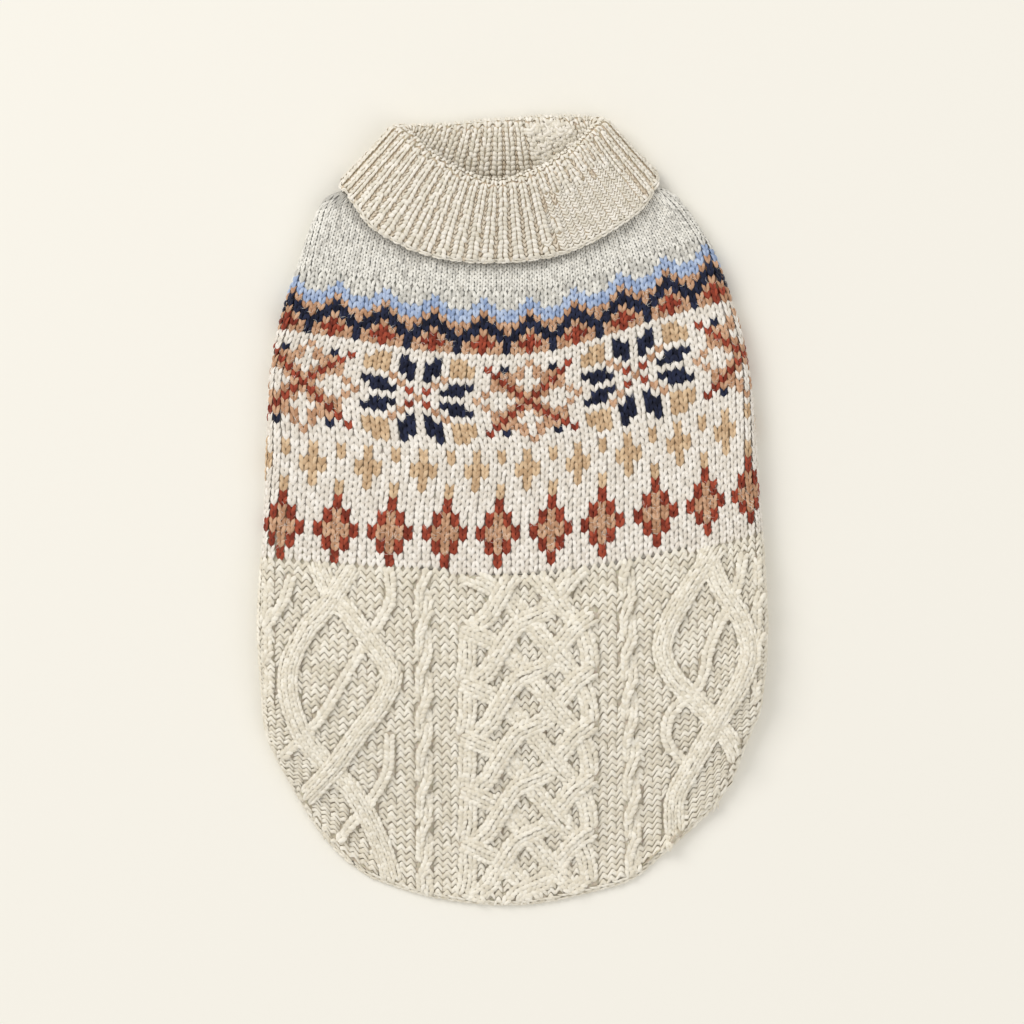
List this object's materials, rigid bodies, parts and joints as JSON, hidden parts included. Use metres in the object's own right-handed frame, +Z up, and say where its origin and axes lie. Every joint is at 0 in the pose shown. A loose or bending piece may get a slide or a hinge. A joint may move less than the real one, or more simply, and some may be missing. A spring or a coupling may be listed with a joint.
{
  "type": "dog sweater",
  "caption": "Knitted pullover for a small dog, laid flat back up: turned rib collar, patterned yoke, cabled skirt, rounded tail hem, plain underbody with leg openings.",
  "frame": {"origin": "on the surface it lies on, below the middle of the laid-out sweater", "axes": "+X to the wearer's-back view's right, +Y from the tail hem toward the collar, +Z up out of the back"},
  "size_m": [0.2568, 0.399, 0.034],
  "materials": {
    "patterned_knit": "soft wool stocking stitch, heathered cream with navy, rust, camel and light blue yarns, matt",
    "cable_knit": "soft wool cables on a purl ground, heathered cream, matt",
    "plain_knit": "soft wool stocking stitch, heathered cream, matt",
    "rib_knit": "soft wool ribbing, heathered oatmeal cream, matt"
  },
  "bodies": {
    "root": {"back_yoke": "patterned_knit", "back_skirt": "cable_knit", "belly_panel": "plain_knit", "collar": "rib_knit"}
  },
  "joints": []
}
